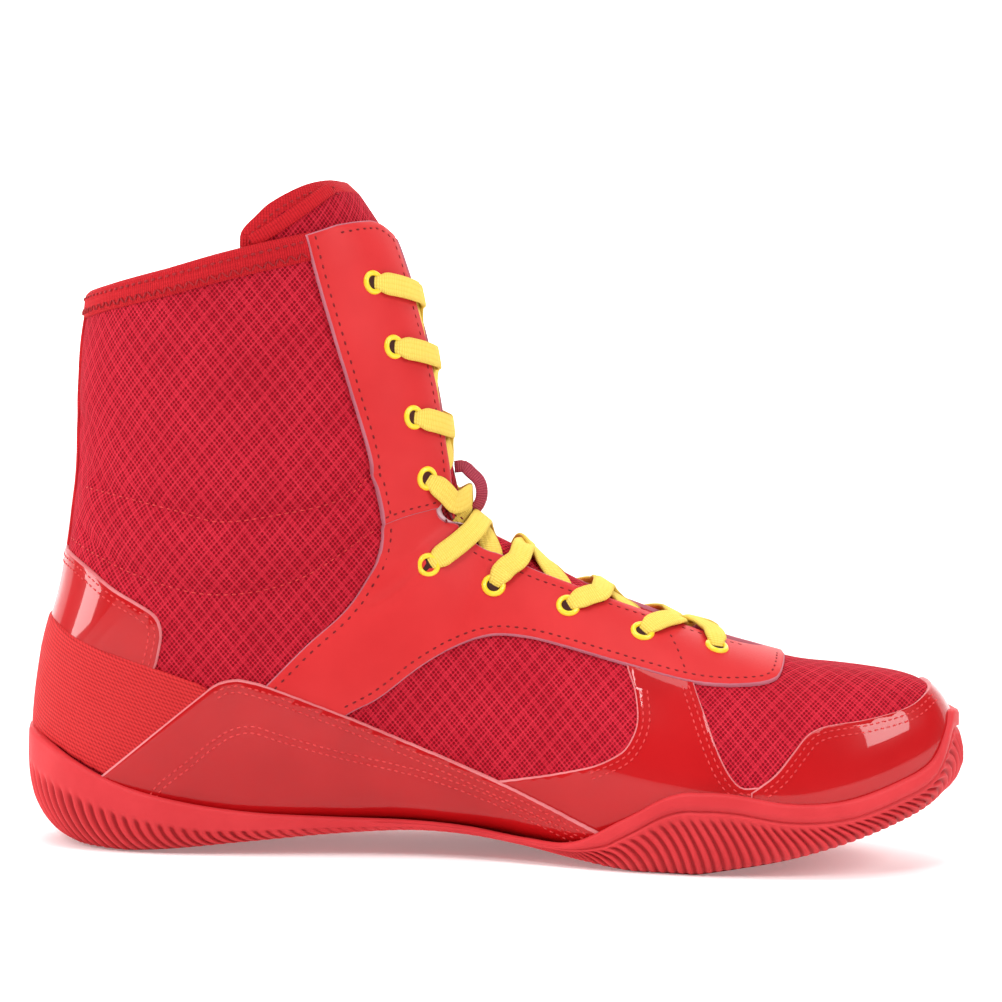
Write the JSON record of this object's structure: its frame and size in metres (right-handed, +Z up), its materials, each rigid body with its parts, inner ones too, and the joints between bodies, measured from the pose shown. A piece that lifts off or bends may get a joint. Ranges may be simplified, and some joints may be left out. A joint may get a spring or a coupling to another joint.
{
  "type": "wrestling shoe",
  "caption": "Tall laced wrestling shoe for the left foot: mesh upper with leather and patent overlays, heel strap, thin curved rubber sole.",
  "frame": {"origin": "on the floor under the centre of the shoe's bounding box", "axes": "+X towards the toe, +Y towards the lateral (outer) side, +Z up"},
  "size_m": [0.29, 0.0966, 0.2055],
  "materials": {
    "mesh": "open knitted mesh with a raised diamond lattice",
    "smooth_leather": "smooth matte",
    "patent": "patent gloss",
    "webbing": "fine elastic twill",
    "rubber": "matte moulded",
    "lace": "flat woven",
    "eyelet": "satin paint",
    "binding": "fine knit tape",
    "ribbon": "satin ribbon",
    "lining": "brushed cloth"
  },
  "bodies": {
    "root": {"outsole": "rubber", "insole": "lining", "upper": "mesh", "tongue": "mesh", "heel_counter": "patent", "heel_strap": "webbing", "toe_cap": "patent", "vamp_eyestay": "smooth_leather", "collar_binding": "binding", "back_strip": "binding", "tongue_loop": "ribbon", "side_wing_medial": "patent", "ball_panel_medial": "patent", "shaft_eyestay_medial": "smooth_leather", "side_wing_lateral": "patent", "ball_panel_lateral": "patent", "shaft_eyestay_lateral": "smooth_leather", "eyelet_1_medial": "eyelet", "eyelet_1_lateral": "eyelet", "eyelet_2_medial": "eyelet", "eyelet_2_lateral": "eyelet", "eyelet_3_medial": "eyelet", "eyelet_3_lateral": "eyelet", "eyelet_4_medial": "eyelet", "eyelet_4_lateral": "eyelet", "eyelet_5_medial": "eyelet", "eyelet_5_lateral": "eyelet", "eyelet_6_medial": "eyelet", "eyelet_6_lateral": "eyelet", "eyelet_7_medial": "eyelet", "eyelet_7_lateral": "eyelet", "eyelet_8_medial": "eyelet", "eyelet_8_lateral": "eyelet", "eyelet_9_medial": "eyelet", "eyelet_9_lateral": "eyelet", "lace_crossing_1": "lace", "lace_crossing_2": "lace", "lace_crossing_3": "lace", "lace_crossing_4": "lace", "lace_crossing_5": "lace", "lace_crossing_6": "lace", "lace_crossing_7": "lace", "lace_crossing_8": "lace"}
  },
  "joints": []
}
